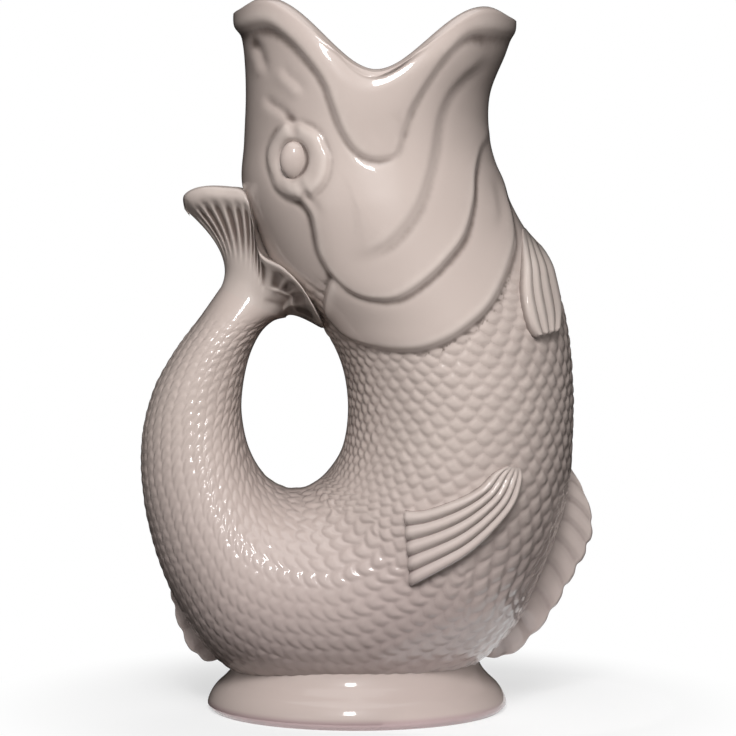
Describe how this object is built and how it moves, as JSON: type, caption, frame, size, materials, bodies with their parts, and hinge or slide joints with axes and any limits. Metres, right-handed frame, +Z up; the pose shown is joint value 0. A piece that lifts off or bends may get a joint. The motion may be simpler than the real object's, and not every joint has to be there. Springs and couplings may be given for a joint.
{
  "type": "gurgle jug",
  "caption": "Glazed pottery gurgle jug in the form of an upright fish, with an open mouth to pour from and a hollow tail curled up as the handle",
  "frame": {"origin": "on the table, under the middle of the whole jug's box", "axes": "+Z up, +X towards the fish's belly, away from the tail handle, and Y across the fish"},
  "size_m": [0.1539, 0.1102, 0.2399],
  "materials": {
    "body_glaze": "gloss glaze over pressed scales, pale taupe",
    "face_glaze": "gloss glaze on smooth clay, pale taupe",
    "fin_glaze": "gloss glaze pooled darker between the rays",
    "foot_glaze": "gloss glaze, with a thin mauve line at the bottom edge",
    "eye_glaze": "gloss glaze on a smooth dome"
  },
  "bodies": {
    "root": {"head_shell": "body_glaze", "body_shell": "body_glaze", "tail_tube": "body_glaze", "tail_fin": "fin_glaze", "foot": "foot_glaze", "upper_lip": "face_glaze", "lower_lip": "face_glaze", "belly_fin": "fin_glaze", "rear_fin": "fin_glaze", "gill_cover_right": "face_glaze", "gill_cover_left": "face_glaze", "cheek_plate_right": "face_glaze", "cheek_plate_left": "face_glaze", "eye_ring_right": "face_glaze", "eye_ring_left": "face_glaze", "eyeball_right": "eye_glaze", "eyeball_left": "eye_glaze", "pectoral_fin_right": "fin_glaze", "pectoral_fin_left": "fin_glaze", "pelvic_fin_right": "fin_glaze", "pelvic_fin_left": "fin_glaze"}
  },
  "joints": []
}
